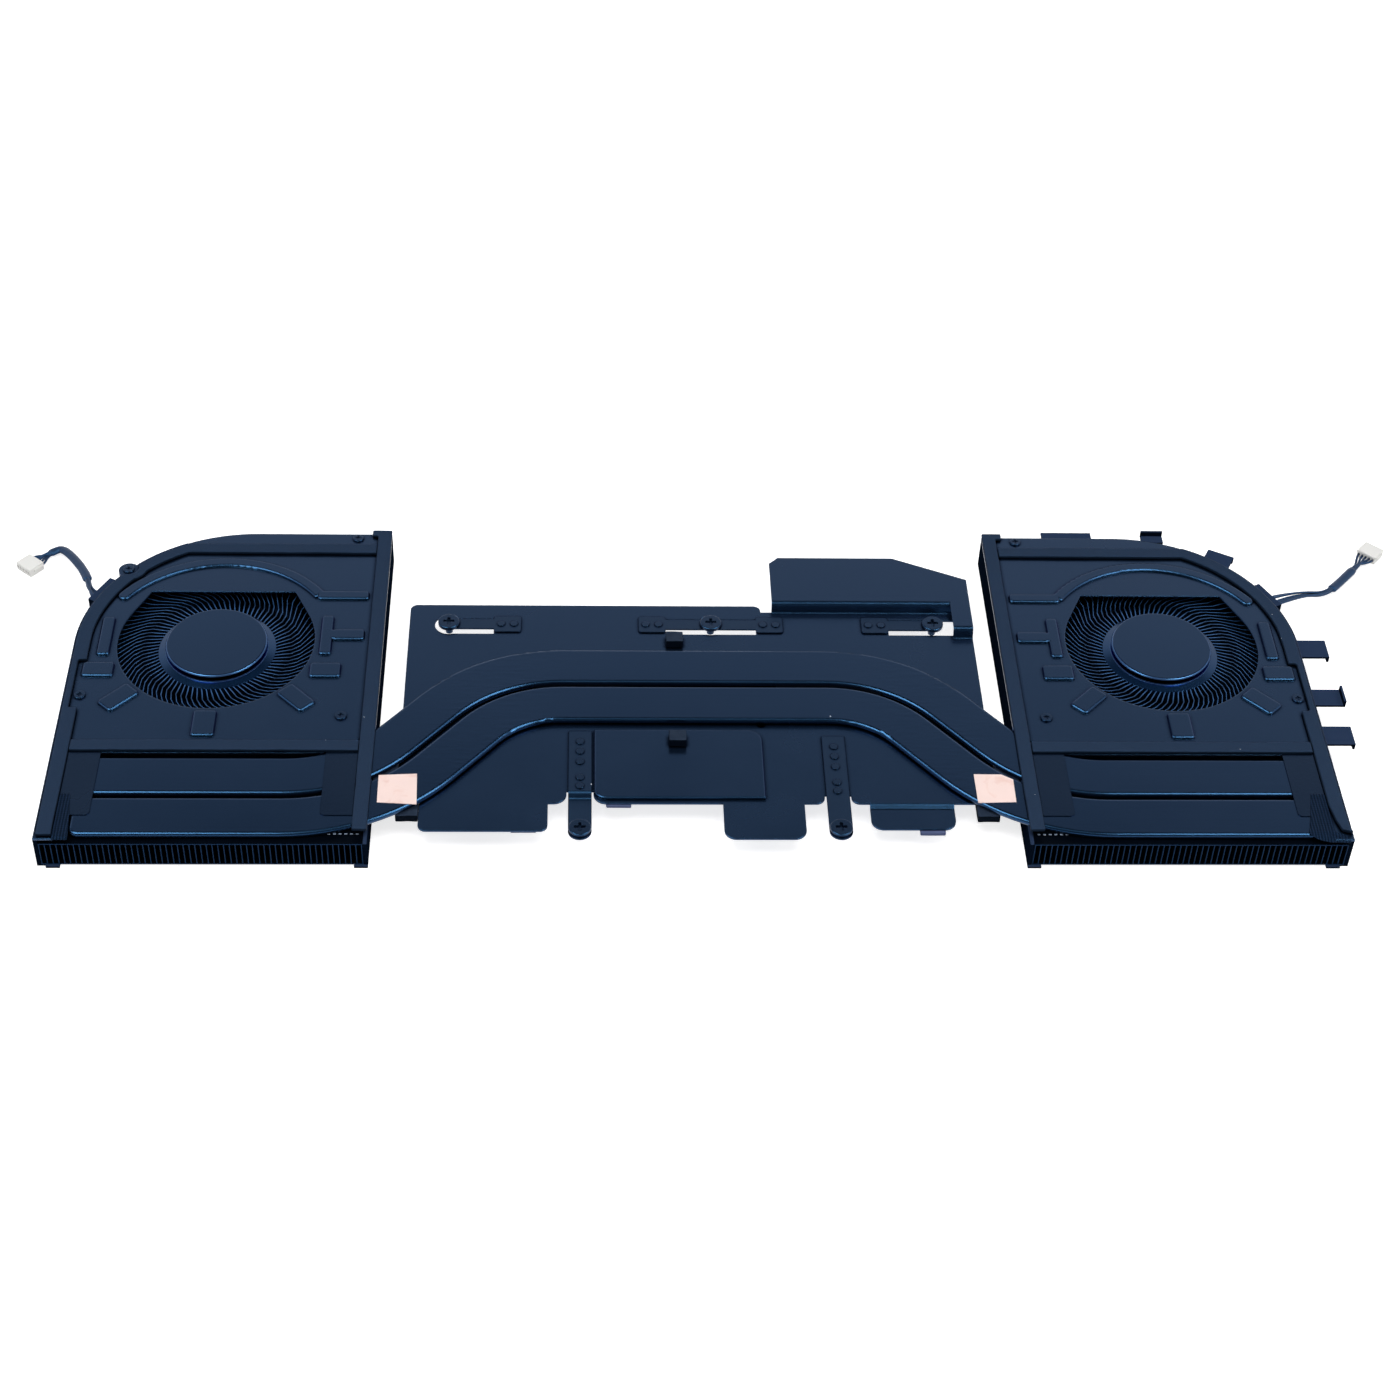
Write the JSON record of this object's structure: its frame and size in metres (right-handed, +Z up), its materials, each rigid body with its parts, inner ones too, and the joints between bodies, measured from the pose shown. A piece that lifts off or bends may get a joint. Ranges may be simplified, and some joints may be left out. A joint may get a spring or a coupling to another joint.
{
  "type": "laptop cooling fan heatsink",
  "caption": "Flat laptop cooling unit: bent heat pipes over a sheet base plate carry heat to fin stacks and blower fans at both ends, with foam strips and short fan leads.",
  "frame": {"origin": "on the table under the middle of the whole, fan leads left out", "axes": "+X along the row of fans, +Y from the fin fronts to the rear of the fans, +Z up through the fan covers"},
  "size_m": [0.3901, 0.1273, 0.0111],
  "materials": {
    "black_sheet": "satin blue-black paint",
    "black_pipe": "satin blue-black paint on copper",
    "black_fin": "matte black coating",
    "black_spring": "satin black spring steel",
    "black_steel": "black zinc",
    "black_plastic": "matte",
    "blade_plastic": "half gloss",
    "black_foam": "fine-pored foam",
    "film": "smooth film",
    "mesh": "fine woven tape",
    "copper_foil": "bright copper foil",
    "copper": "machined copper",
    "thermal_pad": "soft grey pad",
    "magnet": "bonded magnet",
    "steel": "plain steel",
    "bronze": "sintered bronze",
    "winding": "enamelled copper wire",
    "board": "solder mask",
    "lead": "black insulated wires",
    "connector": "plain off-white"
  },
  "bodies": {
    "frame": {"base_plate": "black_sheet", "front_heat_pipe": "black_pipe", "rear_heat_pipe": "black_pipe", "left_cold_plate": "copper", "right_cold_plate": "copper", "left_rear_spring": "black_spring", "center_rear_spring": "black_spring", "right_rear_spring": "black_spring", "left_front_arm": "black_spring", "right_front_arm": "black_spring", "spring_rivets": "black_steel", "captive_screws": "black_steel", "rear_foam_block": "black_foam", "front_foam_block": "black_foam", "left_copper_foil": "copper_foil", "right_copper_foil": "copper_foil", "thermal_pads": "thermal_pad", "pipe_supports": "black_foam", "left_fan_base": "black_plastic", "left_fan_cover": "black_sheet", "left_cover_screws": "black_steel", "left_bearing_sleeve": "bronze", "left_stator_core": "steel", "left_stator_windings": "winding", "left_motor_board": "board", "left_rim_gasket": "black_foam", "left_inner_gasket": "black_foam", "left_cross_gasket": "black_foam", "left_fin_stack": "black_fin", "left_outer_film": "film", "left_inner_film": "film", "left_mesh_tape": "mesh", "left_lead": "lead", "left_connector": "connector", "right_fan_base": "black_plastic", "right_fan_cover": "black_sheet", "right_cover_screws": "black_steel", "right_bearing_sleeve": "bronze", "right_stator_core": "steel", "right_stator_windings": "winding", "right_motor_board": "board", "right_rim_gasket": "black_foam", "right_inner_gasket": "black_foam", "right_cross_gasket": "black_foam", "right_fin_stack": "black_fin", "right_outer_film": "film", "right_inner_film": "film", "right_mesh_tape": "mesh", "right_lead": "lead", "right_connector": "connector"},
    "left_rotor": {"left_impeller": "blade_plastic", "left_rotor_magnet": "magnet", "left_fan_shaft": "steel"},
    "right_rotor": {"right_impeller": "blade_plastic", "right_rotor_magnet": "magnet", "right_fan_shaft": "steel"}
  },
  "joints": [
    {"name": "left_fan_spin", "type": "hinge", "parent": "frame", "child": "left_rotor", "pos_m": [-0.1318, 0.01305, 0.005], "axis": [0, 0, -1], "continuous": true},
    {"name": "right_fan_spin", "type": "hinge", "parent": "frame", "child": "right_rotor", "pos_m": [0.1236, 0.01305, 0.005], "axis": [0, 0, 1], "continuous": true}
  ]
}
